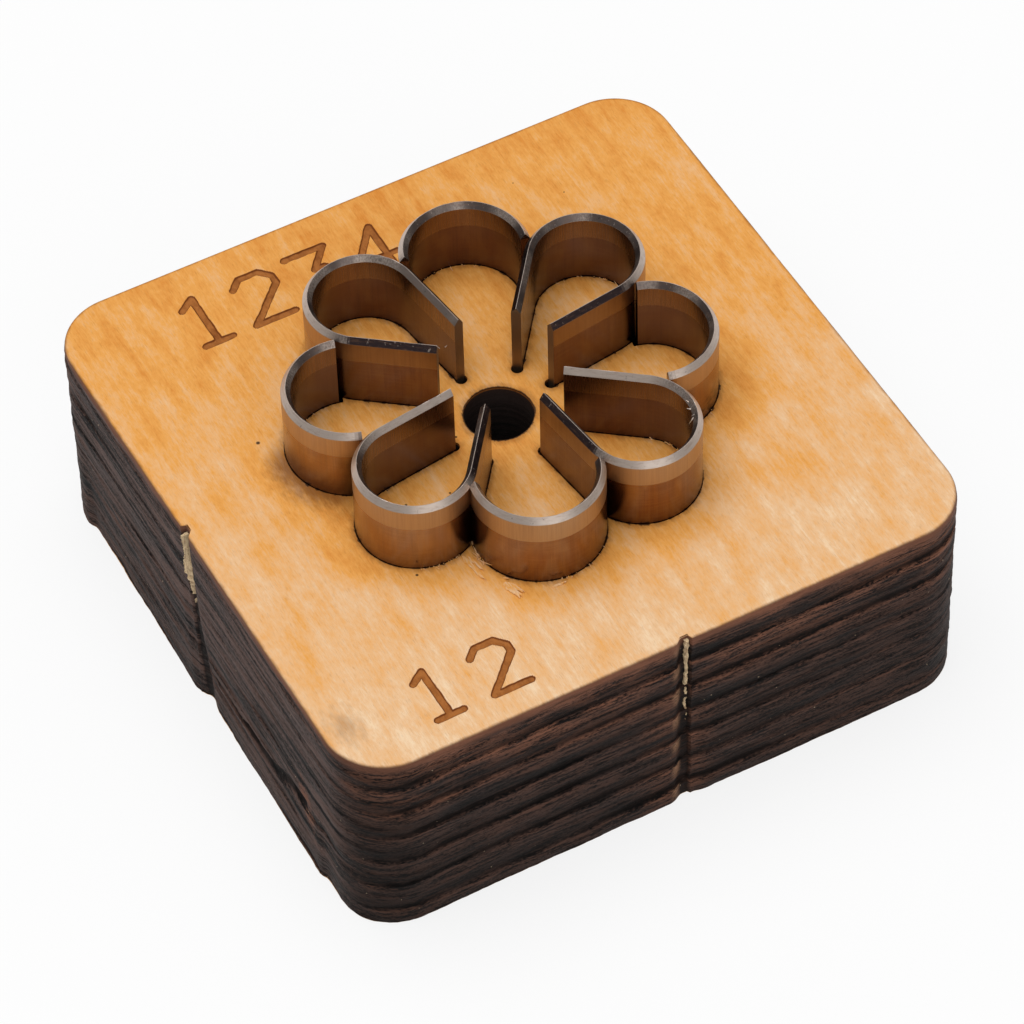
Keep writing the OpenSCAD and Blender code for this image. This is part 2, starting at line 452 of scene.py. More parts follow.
def side_tone(finish, depth):
    """A cut side: soot and painted shade in the hollows between the plies, brown and grey fibres on
    their ridges with painted copper highlights
    """
    _, _, board, _ = settings()
    x, y = finish.x, finish.y
    burn = finish.add("ShaderNodeAttribute", {"attribute_name": "burn"}, {}, "Fac")
    strand = finish.cloud(0.40, 0.40, 4.2, detail=6.0, rough=0.72)
    sweep = finish.cloud(0.10, 0.09, 2.4, 61.0, detail=5.0, rough=0.66)
    dash = finish.cloud(3.2, 3.2, 13.0, 5.0, detail=3.0, rough=0.65)
    patch = finish.cloud(0.18, 0.18, 0.7, 3.0, detail=3.0)
    front = abs(y).ease(HALF_Y / MM - 4.0, HALF_Y / MM - 1.0)
    # A patch of painted copper sheen on the left side
    sheen_patch_y = y - SHEEN_PATCH_Y + (depth - SHEEN_PATCH_DEPTH) * SHEEN_PATCH_SLANT
    sheen_patch_z = depth - SHEEN_PATCH_DEPTH
    sheen_patch = (sheen_patch_y * sheen_patch_y / 1.2 + sheen_patch_z * sheen_patch_z / 16.0).ease(0.0, 1.0)
    sheen_patch = (1.0 - sheen_patch) * x.ease(-20.0, -23.0)
    fibre = (strand * front + sweep * (1.0 - front)) * 0.62 + dash * 0.38
    by_nick = abs(x - board.nick_x / MM + FLANK_HIGHLIGHT_OFF)
    warm = depth.ease(1.5, 8.0, 1.0, 0.2).at_least(by_nick.ease(0.5, 5.0, 0.6, 0.0))
    glow = patch.ease(0.28, 0.56) * ((1.0 - front) * 0.25 + front * warm)
    rim_glow = depth.ease(0.4, 3.2, 0.7, 0.0) * patch.ease(0.36, 0.54) * front
    glow = glow.at_least(sheen_patch).at_least(rim_glow) * fibre.ease(0.42, 0.57)
    pair_place = (depth * board.plies * MM / BOARD_TOP / 2).math("FRACT")
    # Painted highlight along the upper edge of each pair of plies on the front side
    lip = pair_place.ease(0.0, 0.30, 1.0, 0.0) * front * (1.0 - burn)
    # Painted copper highlight on the ply ridges of the front nick's rounded flank
    torn = (by_nick + strand.swing(0.8)).ease(0.1, 0.55, 1.0, 0.0)
    torn = torn * (pair_place + dash.swing(0.4)).ease(0.15, 0.65, 1.0, 0.0) * front
    torn = torn * dash.ease(0.36, 0.54, 0.1, 0.7) * patch.ease(0.28, 0.48, 0.5, 1.0)
    # Painted shade darkening the lower part of each pair of plies on the front side
    hollow = pair_place + dash.swing(0.3)
    hollow = hollow.ease(0.36, 0.66) * hollow.ease(0.93, 1.02, 1.0, 0.0) * front
    plain = x.ease(3.0, 17.0) * depth.ease(3.0, 9.0)
    hollow = hollow * (1.0 - plain * 0.6)
    ashen = fibre.ease(0.44, 0.61) * depth.ease(0.0, 17.0, 0.95, 0.40)
    dust = finish.cloud(5.0, 5.0, 5.0, 17.0, detail=0.0)
    inner = x.hypot(y).ease(19.0, 20.0, 1.0, 0.0)
    wall = finish.mix(depth.ease(0.3, 7.0, 0.15, 1.0), board.umber, board.soot)
    corner = spot_distance(finish, -HALF_X / MM, -HALF_Y / MM)
    side = finish.layer(
        board.soot,
        (fibre.ease(0.42, 0.58), board.umber),
        (ashen * (1.0 - front), board.ash),
        # Copper sheen on the ridges, with the painted highlight along the lips
        (glow * 0.9 + lip * fibre.ease(0.44, 0.60) * (warm * 0.5 + 0.15), board.copper),
        ((burn.ease(0.15, 0.85) * 0.85).at_least(hollow * 0.5), board.soot),
        (torn * y.ease(0.0, -20.0), finish.mix(0.25, board.copper, board.pale)),
        (dash.ease(0.68, 0.76, 0.0, 0.6), board.ash),
        (dust.ease(0.87, 0.90, 0.0, 0.5), board.cream),
        ((depth + dash.swing(0.8)).ease(0.25, 0.95, 0.75, 0.0), board.copper),
        (inner * 0.85, wall),
        (corner.ease(2.0, 7.0, 0.35, 0.0), board.soot))
    return side, strand, dash


def plywood_finish():
    """Varnished birch veneer on the faces, laser-charred plies on every cut side"""
    finish = Finish("charred_plywood")
    depth = BOARD_TOP / MM - finish.z
    from_edge = edge_distance(finish)
    by_edge = from_edge.ease(0.4, 0.8, 1.0, 0.0)
    top, groove, fleck = top_tone(finish, depth, from_edge, by_edge)
    side, strand, dash = side_tone(finish, depth)
    charred = (depth + by_edge * 0.16).ease(0.19, 0.26) * finish.z.ease(0.01, 0.05)
    grain = finish.mix(charred, fleck, strand + dash * 0.7)
    return finish.set(
        base_color=finish.mix(charred, top, side),
        roughness=charred.ease(0.0, 1.0, 0.42, 0.60) + strand.swing(0.2) * charred,
        coat_weight=(1.0 - charred) * (1.0 - groove) * 0.10,
        specular_ior_level=0.06,
        normal=finish.bump(grain, 0.45, 0.10 * MM))


def lifted_veneer_finish():
    """Peeled veneer and loose fibres, a little paler than the varnished face"""
    _, _, board, _ = settings()
    finish = Finish("lifted_veneer")
    strand = finish.cloud(7.0, 1.5, 1.0, detail=3.0, rough=0.6)
    tone = finish.mix(strand.ease(0.35, 0.65), board.honey, board.pale)
    return finish.set(base_color=tone, roughness=0.7, specular_ior_level=0.1)


def raw_wood_finish():
    """Broken wood, pale and fibrous"""
    _, _, board, _ = settings()
    finish = Finish("raw_wood")
    strand = finish.cloud(9.0, 9.0, 1.2, detail=4.0, rough=0.65)
    tone = finish.mix(strand.ease(0.40, 0.70, 0.0, 0.65), board.raw, board.scorch)
    return finish.set(base_color=tone, roughness=0.75, normal=finish.bump(strand, 0.4, 0.05 * MM))


def steel_finish():
    """Satin rule with upright brush lines, a hardened band and a ground bevel, with painted dark
    reflections, painted shade at its feet and where two rules meet, and painted highlights on its dark
    bevels
    """
    _, rule, _, _ = settings()
    finish = Finish("satin_rule")
    below_edge = RULE_TOP / MM - finish.z
    brush = finish.cloud(9.0, 9.0, 0.12, detail=4.0, rough=0.7)
    smear = finish.cloud(0.9, 0.9, 0.35, 11.0, detail=3.0)
    scratch = finish.cloud(1.6, 1.6, 9.0, 23.0, detail=4.0, rough=0.65)
    line = finish.cloud(0.3, 0.3, 12.0, 41.0, detail=3.0, rough=0.6)
    wave = smear.swing(0.10)
    band = (below_edge + wave).ease(rule.band / MM - 0.07, rule.band / MM + 0.07, 1.0, 0.0)
    bevel = below_edge.ease(rule.bevel / MM - 0.02, rule.bevel / MM + 0.01, 1.0, 0.0)
    # How dark a reflection is painted on each face, read from its layer; values over 1 mark the legs'
    # cut ends
    marked = finish.add("ShaderNodeAttribute", {"attribute_name": "dark_scale"}, {}, "Fac")
    painted_reflection = marked.at_most(1.0)
    cut_end = (marked - 1.0).at_least(0.0)
    band = band * (1.0 - painted_reflection * 0.75 * (1.0 - bevel))
    edge = finish.mix(brush.ease(0.35, 0.75, 0.0, 0.25), rule.hardened, rule.steel)
    dull = finish.x.ease(-3.0, -12.0, 0.0, 0.20) + finish.x.ease(5.0, 12.0, 0.0, 0.12)
    # Painted shade: the body turns darker towards its foot over the board
    painted_foot_shade = (below_edge + smear.swing(1.6)).ease(3.6, 6.2, 0.0, 0.26) * (1.0 - painted_reflection)
    body = finish.layer(
        rule.steel,
        (brush.ease(0.32, 0.72, 0.0, 0.26), rule.blued_and_painted_shade),
        (line.ease(0.40, 0.70, 0.0, 0.16), rule.hardened),
        (smear.ease(0.40, 0.72, 0.0, 0.30), rule.hardened),
        (dull, rule.ground),
        # Painted shade: blue-grey on the faces with a painted dark reflection
        (painted_reflection * 0.56, rule.painted_inward_shade),
        (painted_foot_shade, rule.blued_and_painted_shade))
    # Painted shade in the crease where an arc butts against a loop, widening towards the board, and a
    # stain on one rule
    shade_and_soot = (joint_distance(finish) + smear.swing(0.8)).ease(0.5, 2.3, 0.85, 0.0)
    shade_and_soot = shade_and_soot * below_edge.ease(1.2, 3.2) * (1.0 - painted_reflection)
    squiggle = finish.cloud(1.2, 1.2, 1.6, 83.0, detail=2.0, rough=0.6)
    stain = spot_distance(finish, *STAIN).ease(0.8, 2.4, 0.6, 0.0) * below_edge.ease(3.4, 5.2)
    shade_and_soot = shade_and_soot.at_least(stain * squiggle.ease(0.44, 0.60) * (1.0 - painted_reflection))
    # Painted highlight: bright patches on the dark inner bevels
    sheen_patch = finish.cloud(0.28, 0.28, 0.0, 67.0, detail=2.0)
    tick = finish.cloud(5.0, 5.0, 3.0, 29.0, detail=2.0, rough=0.6)
    bright = sheen_patch.ease(0.42, 0.62, 0.0, 0.75) * brush.ease(0.38, 0.62, 0.35, 1.0)
    sheen = finish.mix(bright * painted_reflection.ease(0.86, 1.0, 1.0, 0.0), rule.blued_and_painted_shade, rule.ground)
    ground = finish.layer(
        rule.ground,
        (painted_reflection, sheen),
        (scratch.ease(0.45, 0.75, 0.0, 0.35), rule.steel),
        (tick.ease(0.66, 0.76, 0.0, 0.45), rule.shade_and_soot),
        (tick.ease(0.36, 0.28, 0.0, 0.5), rule.ground))
    tone = finish.layer(
        body,
        (band * 0.9, edge),
        (shade_and_soot, rule.shade_and_soot),
        (bevel, ground),
        (cut_end, finish.mix(0.5, rule.hardened, rule.blued_and_painted_shade)))
    rough = 0.22 + brush.swing(0.20) + band * 0.20 + cut_end * 0.3
    rough = rough + bevel * (scratch.swing(0.25) - 0.04)
    return finish.set(
        base_color=tone, metallic=1.0, roughness=rough,
        normal=finish.bump(brush, 0.15, 0.03 * MM))


def floor_finish():
    """Pale floor, nearly white to the camera and in what the steel mirrors"""
    _, _, _, stage = settings()
    finish = Finish("pale_floor")
    finish.set(base_color=linear(stage.floor), roughness=0.9)
    plain = Wire(finish, finish.shader.outputs[0])
    white = finish.add("ShaderNodeEmission", {}, {"Color": (1, 1, 1, 1)})
    camera, glossy, through = (finish.add("ShaderNodeLightPath", output=f"Is {kind} Ray")
                               for kind in ("Camera", "Glossy", "Transmission"))
    seen = camera.at_least(glossy).at_least(through)
    blend = finish.add("ShaderNodeMixShader", {}, {0: seen * FLOOR_WHITE, 1: plain, 2: white})
    finish.feed(finish.tree.nodes["Material Output"].inputs["Surface"], blend)
    return finish.material


def finish_of(name, maker):
    """The material of that name, made once"""
    return bpy.data.materials.get(name) or maker()


# Geometry shared by the pieces

FLAT = 1e-6
SPLINTER_TAPER = 0.2


def loop_radius():
    flower, rule, _, _ = settings()
    return flower.loop_centre * math.sin(HALF_PETAL) - rule.thickness / 2


def leg_tip():
    flower, rule, _, _ = settings()
    return math.sqrt(flower.tip ** 2 - rule.thickness ** 2 / 4)


def arc_half_bend():
    """Angle from an arc's crown to its end, where it butts against the loop beside it"""
    flower, rule, _, _ = settings()
    to_loop = Vector((flower.loop_centre * math.cos(2 * HALF_PETAL) - flower.arc_centre,
                      flower.loop_centre * math.sin(2 * HALF_PETAL)))
    reach = flower.arc_radius + rule.thickness / 2
    keep_off = loop_radius() + rule.thickness / 2 + flower.butt_gap
    span = to_loop.length
    cosine = (reach ** 2 + span ** 2 - keep_off ** 2) / (2 * reach * span)
    return math.atan2(to_loop.y, to_loop.x) - math.acos(cosine)


def petal_frame(place):
    """Frame of one petal, with its axis along X: loops sit at whole places, arcs half a step on"""
    flower, _, _, _ = settings()
    return (Matrix.Translation((*flower.middle, 0.0))
            @ Matrix.Rotation(flower.turn + place * PAIR_STEP, 4, "Z"))


def smooth_but_sharp(bm, angle):
    """Smooth faces, with every edge over that angle left sharp"""
    for face in bm.faces:
        face.smooth = True
    for edge in bm.edges:
        edge.smooth = len(edge.link_faces) == 2 and edge.calc_face_angle(0.0) < angle


def ease(value, low, high):
    t = min(1.0, max(0.0, (value - low) / (high - low)))
    return t * t * (3 - 2 * t)


def direction(angle):
    return Vector((math.cos(angle), math.sin(angle), 0.0))


def add_splinter(bm, root, way, length, thick, sides):
    """A thin splinter that starts at its root and tapers along its way"""
    turn = way.to_track_quat("Z", "Y").to_matrix().to_4x4()
    bmesh.ops.create_cone(
        bm, cap_ends=True, segments=sides, radius1=thick, radius2=thick * SPLINTER_TAPER,
        depth=length, matrix=Matrix.Translation(root + way * length / 2) @ turn)


def thicken(bm, faces, way):
    """Gives a sheet of faces a thickness"""
    grown = bmesh.ops.extrude_face_region(bm, geom=faces)["geom"]
    verts = [item for item in grown if isinstance(item, bmesh.types.BMVert)]
    bmesh.ops.translate(bm, verts=verts, vec=way)
    bmesh.ops.recalc_face_normals(bm, faces=bm.faces)


def add_object(bm, name, material):
    """Makes an object of a bmesh and gives it its finish"""
    mesh = bpy.data.meshes.new(name)
    bm.to_mesh(mesh)
    bm.free()
    mesh.materials.append(material)
    made = bpy.data.objects.new(name, mesh)
    bpy.context.scene.collection.objects.link(made)
    return made


def finish_piece(bm, name, material, replaced=()):
    """Makes a piece of a bmesh and lets it ride on the die"""
    piece = add_object(bm, name, material)
    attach(piece, "root")
    if replaced:
        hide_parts(*replaced)


# Cutting rules

LEG_STEPS = 10
LOOP_STEPS = 72
ARC_STEPS = 56
SHARP_STEEL = math.radians(24)
# Angles from a loop's crown between which its bend goes over into the leg's shade
LEG_SHADE_START = math.radians(75)
LEG_SHADE_END = math.radians(112)
ARC_END_SHADE = math.radians(9)
# Mark in the dark_scale layer for the cut ends of the legs
CUT_END = 2.0
INNER_BEVEL_SHADE = 0.85
OUTER_LEG_SHADE = 0.7
ARC_END_DARK = 0.8
LOOP_SEED = 3.0
ARC_SEED = 9.0
# Waver of the faces and chips in the edge: features per metre and size
WAVER = (220, 0.05 * MM)
CHIP = (1900, 0.10 * MM)
CHIP_START = 0.25
# Painted dark reflection on the inner bevel of each loop's two legs
LEG_SHADES = ((0.8, 0.8), (0.6, 0.8), (0.1, 0.8), (0.8, 0.1))
# Lean of each arc at its cutting edge
ARC_LEANS = (0.0, 0.0, -0.15 * MM, 0.0)


def rule_section(bm, base, outward):
    """The rule's section as a face: its back at the bottom and the bevelled edge on top"""
    _, rule, _, _ = settings()
    half = rule.thickness / 2
    shoulder = RULE_TOP - rule.bevel
    band = RULE_TOP - rule.band
    outline = [(-half, 0.0), (half, 0.0), (half, BOARD_TOP), (half, band), (half, shoulder),
               (rule.land / 2, RULE_TOP), (-rule.land / 2, RULE_TOP),
               (-half, shoulder), (-half, band), (-half, BOARD_TOP)]
    return bm.faces.new([bm.verts.new(base + outward * n + Vector((0, 0, z))) for n, z in outline])


def lead(bm, face, step, count):
    """Leads a section straight on by a number of steps and returns its last face"""
    for _ in range(count):
        grown = bmesh.ops.extrude_face_region(bm, geom=[face])["geom"]
        face = next(item for item in grown if isinstance(item, bmesh.types.BMFace))
        bmesh.ops.translate(bm, verts=face.verts[:], vec=step)
    return face


def bend(bm, face, centre, angle, steps):
    """Bends a section about an upright axis and returns its last face"""
    geom = [face, *face.edges, *face.verts]
    last = bmesh.ops.spin(bm, geom=geom, cent=centre, axis=(0, 0, 1), angle=angle, steps=steps,
                          use_merge=False, use_duplicate=False)["geom_last"]
    return next(item for item in last if isinstance(item, bmesh.types.BMFace))


def loop_bmesh():
    """A teardrop: a leg, the bend round the petal's end and the other leg, in the petal's frame"""
    flower, rule, _, _ = settings()
    bm = bmesh.new()
    leg_start = flower.loop_centre * math.cos(HALF_PETAL)
    step = (leg_start - leg_tip()) / LEG_STEPS
    first, second = direction(-HALF_PETAL), direction(HALF_PETAL)
    outward = direction(-HALF_PETAL - math.pi / 2)
    base = first * leg_tip() - outward * rule.thickness / 2
    face = rule_section(bm, base, outward)
    face = lead(bm, face, first * step, LEG_STEPS)
    face = bend(bm, face, (flower.loop_centre, 0, 0), math.pi + 2 * HALF_PETAL, LOOP_STEPS)
    lead(bm, face, second * -step, LEG_STEPS)
    return bm


def arc_bmesh():
    """A half round, in the petal's frame"""
    flower, _, _, _ = settings()
    bm = bmesh.new()
    half = arc_half_bend()
    outward = direction(-half)
    base = Vector((flower.arc_centre, 0, 0)) + outward * flower.arc_radius
    face = rule_section(bm, base, outward)
    bend(bm, face, (flower.arc_centre, 0, 0), 2 * half, ARC_STEPS)
    return bm


def notch_arc(bm):
    """Cuts the notch that lets an arc sit over the bridge of wood left under its crown"""
    flower, rule, _, _ = settings()
    for normal, place in ((Vector((0, 1, 0)), rule.notch_width / 2),
                          (Vector((0, 1, 0)), -rule.notch_width / 2),
                          (Vector((0, 0, 1)), rule.notch_height)):
        spot = normal * place
        bmesh.ops.bisect_plane(bm, geom=[*bm.verts, *bm.edges, *bm.faces], dist=FLAT,
                               plane_co=spot, plane_no=normal)
    inside = [f for f in bm.faces
              if abs(f.calc_center_median().y) < rule.notch_width / 2
              and f.calc_center_median().z < rule.notch_height
              and f.calc_center_median().x > flower.arc_centre]
    bmesh.ops.delete(bm, geom=inside, context="FACES")
    bmesh.ops.holes_fill(bm, edges=[e for e in bm.edges if e.is_boundary], sides=0)


def age_rule(bm, seed, lean):
    """Small faults of a hand-bent rule: a lean over the board, a wavering face, nicks in the edge"""
    _, rule, _, _ = settings()
    for vert in bm.verts:
        over = max(0.0, vert.co.z - BOARD_TOP) / (RULE_TOP - BOARD_TOP)
        waver = noise.noise(Vector((vert.co.x, vert.co.y, seed)) * WAVER[0]) * WAVER[1] * over
        vert.co.x += lean * over + waver
        if vert.co.z > RULE_TOP - rule.bevel / 2:
            chip = noise.noise(Vector((vert.co.x, vert.co.y, seed)) * CHIP[0])
            vert.co.z -= max(0.0, chip - CHIP_START) * CHIP[1]


def shade_faces(bm, centre, leg_shades):
    """Marks how dark a reflection is painted on each face: bevels are bright outside a crown and inside
    some legs
    """
    _, rule, _, _ = settings()
    layer = bm.faces.layers.float.new("dark_scale")
    flank = HALF_PETAL + math.pi / 2
    for face in bm.faces:
        middle = face.calc_center_median()
        spoke = Vector((middle.x - centre, middle.y))
        turned = abs(math.atan2(spoke.y, spoke.x))
        on_leg = ease(turned, LEG_SHADE_START, LEG_SHADE_END) if leg_shades else 0.0
        if turned > flank and leg_shades:
            spoke = Vector((math.cos(flank), math.copysign(math.sin(flank), middle.y)))
        facing = face.normal.xy.dot(spoke.normalized())
        if middle.z > RULE_TOP - rule.bevel:
            inner_shade = leg_shades[middle.y > 0] if leg_shades else 0.0
            crown_shade, leg_shade = (0.0, 1.0) if facing > 0 else (INNER_BEVEL_SHADE, inner_shade)
        else:
            # Body faces: bright outside a crown, a painted dark reflection on the legs and on faces
            # that look inwards
            crown_shade, leg_shade = (0.0, OUTER_LEG_SHADE) if facing > 0.5 else (1.0, 1.0)
        face[layer] = crown_shade + (leg_shade - crown_shade) * on_leg
        # A painted dark reflection towards the ends of an arc
        if not leg_shades:
            near_end = ease(turned, arc_half_bend() - ARC_END_SHADE, arc_half_bend())
            face[layer] = max(face[layer], ARC_END_DARK * near_end)
        if middle.z > RULE_TOP - rule.land / 2:
            face[layer] = 0.0
        if leg_shades and len(face.verts) > 4:
            face[layer] = CUT_END


def make_rule(bm, name, centre, place, seed, lean=0.0, leg_shades=None):
    """Finishes a bent rule and sets it in its place"""
    bmesh.ops.recalc_face_normals(bm, faces=bm.faces)
    shade_faces(bm, centre, leg_shades)
    age_rule(bm, seed, lean)
    bmesh.ops.transform(bm, matrix=petal_frame(place), verts=bm.verts)
    smooth_but_sharp(bm, SHARP_STEEL)
    finish_piece(bm, name + "_steel", finish_of("satin_rule", steel_finish), [name])


class DIE_OT_loop_rules(bpy.types.Operator):
    """Bends the four teardrop rules"""
    bl_idname = "die.loop_rules"
    bl_label = "Loop Rules"

    def execute(self, context):
        flower, _, _, _ = settings()
        for place, leg_shades in enumerate(LEG_SHADES):
            make_rule(loop_bmesh(), f"loop_rule_{place + 1}", flower.loop_centre, place,
                      LOOP_SEED + place, leg_shades=leg_shades)
        return {"FINISHED"}


class DIE_OT_arc_rules(bpy.types.Operator):
    """Bends the four half-round rules"""
    bl_idname = "die.arc_rules"
    bl_label = "Arc Rules"

    def execute(self, context):
        flower, _, _, _ = settings()
        for place, lean in enumerate(ARC_LEANS):
            bm = arc_bmesh()
            notch_arc(bm)
            make_rule(bm, f"arc_rule_{place + 1}", flower.arc_centre, place + 0.5,
                      ARC_SEED + place, lean)
        return {"FINISHED"}


# Each burr: place on the board, height below the cutting edge, heading in degrees, slope, length
# and thickness, in millimetres
BURRS = (
    (8.95, -11.35, 0.35, 200, -0.6, 0.55, 0.07), (9.25, -11.20, 0.25, 170, -0.4, 0.40, 0.05),
    (9.12, -10.70, 0.22, 150, 0.2, 0.30, 0.05), (9.30, -10.10, 0.15, 120, 0.3, 0.25, 0.04),
    (-3.45, 2.90, 0.05, 140, 0.9, 0.40, 0.04), (-3.10, 2.78, 0.02, 20, 0.1, 0.25, 0.05),
)
BURR_SIDES = 6


class DIE_OT_edge_burrs(bpy.types.Operator):
    """Leaves small burrs of bright steel on the cutting edges"""
    bl_idname = "die.edge_burrs"
    bl_label = "Edge Burrs"

    def execute(self, context):
        bm = bmesh.new()
        for x, y, below, heading, slope, length, thick in BURRS:
            way = (direction(math.radians(heading)) + Vector((0, 0, slope))).normalized()
            root = Vector((x, y, 0)) * MM + Vector((0, 0, RULE_TOP - below * MM))
            add_splinter(bm, root, way, length * MM, thick * MM, BURR_SIDES)
        finish_piece(bm, "edge_burrs", finish_of("satin_rule", steel_finish))
        return {"FINISHED"}


# Board

CORNER_SEGMENTS = 26
SIDE_CUTS = 119
NICK_CUTS = 3
NICK_ZONE = 2.4 * MM
# For the front and the left nick: lean from top to bottom, and share of its depth that it loses
NICK_LEANS = (0.0, 0.7 * MM)
NICK_FADES = (0.45, 0.85)
NICK_SLOT = 0.42 * MM
NICK_DISH = 0.20 * MM
DISH_REACH = (0.5 * MM, 1.6 * MM)
ROUNDED_FLANK = (0.30 * MM, 1.0 * MM)
SHARP_FLANK = (0.16 * MM, 0.34 * MM)
# Unevenness of the burnt sides: features per millimetre along a side and down it, shift and depth
SIDE_GRAIN = ((0.35, 1.3, 0, 0.07 * MM), (2.2, 5.0, 0, 0.035 * MM), (0.12, 2.4, 30, 0.06 * MM))
# The split in the left side, in millimetres: depth below the top, climb, half widths at its ends
SPLIT_DEPTH = 13.3
SPLIT_CLIMB = 1.9
SPLIT_HALVES = (0.18, 0.60)
SPLIT_BURN = 1.4
# Rounded top edge of the sides: how far it is set back and how far it reaches down
TOP_ROUND = 0.10 * MM
TOP_ROUND_REACH = 0.16 * MM
# Rows of the mesh within one ply, as shares of its thickness
PLY_ROWS = (0.0, 0.07, 0.22, 0.5, 0.78, 0.93)
EDGE_RING = 0.5 * MM
WANDER = 0.42 * MM
WANDER_STEP = 0.9 * MM
WANDER_LAST = -17.5 * MM
INNER_ZONE = 20 * MM
SHARP_WOOD = math.radians(50)


def nick_places():
    """Middle of each nick on the outline, the way out of its side and the way to its rounded flank"""
    _, _, board, _ = settings()
    return ((Vector((board.nick_x, -HALF_Y, 0)), Vector((0, -1, 0)), Vector((-1, 0, 0))),
            (Vector((-HALF_X, board.nick_y, 0)), Vector((-1, 0, 0)), Vector((0, -1, 0))))


def outline_normal(co):
    """The way out of the board at a point of its outline"""
    _, _, board, _ = settings()
    core_x, core_y = HALF_X - board.corner, HALF_Y - board.corner
    out = Vector((max(0.0, abs(co.x) - core_x) * math.copysign(1, co.x),
                  max(0.0, abs(co.y) - core_y) * math.copysign(1, co.y), 0.0))
    return out.normalized()


def ply_burn(co, out, depth):
    """How far the side is burnt back at a point of the outline, from 0 on a ridge to 1"""
    _, _, board, _ = settings()
    pair = 2 * BOARD_TOP / board.plies
    burn = 0.0
    for share, phase, run in ((out.y ** 2, 0.0, co.x), (out.x ** 2, 0.5, co.y)):
        place = depth / pair + phase
        row = math.floor(place)
        t = place - row
        swell = noise.noise(Vector((run / MM * 0.16, row * 7.3, phase * 50 + out.x * 3)))
        edge = noise.noise(Vector((run / MM * 0.9, row * 3.1, phase * 20 + out.y * 3)))
        hollow = ease(t, 0.58 + 0.14 * edge, 0.90) * (1 - ease(t, 0.95, 1.0))
        if phase:
            swell += 0.6 * noise.noise(Vector((row * 4.7, 2.0, 8.0)))
            depth_share = 0.12 + 0.95 * max(0.0, swell)
        else:
            plain = ease(co.x, 4 * MM, 18 * MM) * ease(depth, 4 * MM, 9 * MM)
            depth_share = (0.80 + 0.45 * swell) * (1 - 0.7 * plain)
        burn += share * depth_share * (0.2 * t + 0.8 * hollow)
    return burn


def crevice(co, out, depth):
    """How deep a split in the left side is: it opens and climbs from the nick to the front corner"""
    if out.x > -0.7:
        return 0.0
    run = -co.y / MM
    line = SPLIT_DEPTH - SPLIT_CLIMB * ease(run, 9.0, 15.5)
    line += 0.25 * noise.noise(Vector((run * 0.5, 3.0, 5.0)))
    half = SPLIT_HALVES[0] + (SPLIT_HALVES[1] - SPLIT_HALVES[0]) * ease(run, 1.0, 11.0)
    split = 1 - ease(abs(depth / MM - line), half * 0.5, half * 1.4)
    return split * ease(run, -1.5, 2.0) * (1 - ease(run, 15.0, 16.5))


def side_grain(co, depth):
    """Fine unevenness of the burnt sides"""
    x, y, down = co.x / MM, co.y / MM, depth / MM
    return sum(height * noise.noise(Vector((x * across, y * across, down * rows + shift)))
               for across, rows, shift, height in SIDE_GRAIN)


def nick_relief(co, depth):
    """Extra depth of the grooves where the holding tabs were broken off, and their own share in it"""
    deep = depth / BOARD_TOP
    for (place, out, rounded), lean, fade in zip(nick_places(), NICK_LEANS, NICK_FADES):
        aside = co - place
        aside.z = 0.0
        run = aside.dot(rounded) + lean * (1 - 2 * deep)
        if abs(aside.dot(out)) > MM or abs(run) > NICK_ZONE:
            continue
        flank = ease(run, *ROUNDED_FLANK) if run > 0 else ease(-run, *SHARP_FLANK)
        slot = NICK_SLOT * (1 - flank)
        dish = NICK_DISH * (1 - ease(abs(run), *DISH_REACH)) * (0.25 + 0.75 * deep)
        return slot * (1 - fade * deep) + dish, 1 - flank
    return 0.0, 0.0


def lower_edge_wander(co, out, depth):
    """The cut's slow wander towards the underside of the left side"""
    if out.x > -0.3:
        return 0.0
    _, _, board, _ = settings()
    starts = (HALF_Y - board.corner, board.nick_y, WANDER_LAST)
    back = 0.0
    for start, end in zip(starts, starts[1:]):
        run = (start - co.y) / (start - end)
        if 0 <= run < 1:
            back = (0.85 - run) * ease(start - co.y, 0.0, WANDER_STEP)
    if co.y < WANDER_LAST:
        stepped = ease(WANDER_LAST - co.y, 0.0, WANDER_STEP)
        back = 0.6 * stepped * ease(co.y, -HALF_Y + MM, WANDER_LAST - MM) - 0.15 * (1 - stepped)
    return WANDER * back * ease(depth / BOARD_TOP, 0.40, 1.0) * out.x ** 2


def outline_ring(bm):
    """The board's outline at the underside, fine enough for the relief of its sides"""
    _, _, board, _ = settings()
    plate = bmesh.ops.create_grid(bm, x_segments=1, y_segments=1, size=1.0,
                                  matrix=Matrix.Diagonal((HALF_X, HALF_Y, 1, 1)))
    bmesh.ops.bevel(bm, geom=plate["verts"], offset=board.corner, offset_type="OFFSET",
                    segments=CORNER_SEGMENTS, profile=0.5, affect="VERTICES", material=-1)
    face = next(f for f in bm.faces if len(f.verts) > 4 * CORNER_SEGMENTS and abs(f.normal.z) > 0.9)
    long_edges = [e for e in face.edges if e.calc_length() > board.corner]
    bmesh.ops.subdivide_edges(bm, edges=long_edges, cuts=SIDE_CUTS)
    near = [e for e in face.edges
            if any(((e.verts[0].co + e.verts[1].co) / 2 - place).length < NICK_ZONE
                   for place, _, _ in nick_places())]
    bmesh.ops.subdivide_edges(bm, edges=near, cuts=NICK_CUTS)
    ring = list(face.edges)
    bmesh.ops.delete(bm, geom=[face], context="FACES_ONLY")
    return ring


def raise_ring(bm, ring, offset):
    """Extrudes a ring of edges and returns the new ring and its vertices"""
    grown = bmesh.ops.extrude_edge_only(bm, edges=ring)["geom"]
    verts = [item for item in grown if isinstance(item, bmesh.types.BMVert)]
    bmesh.ops.translate(bm, verts=verts, vec=offset)
    return [item for item in grown if isinstance(item, bmesh.types.BMEdge)], verts


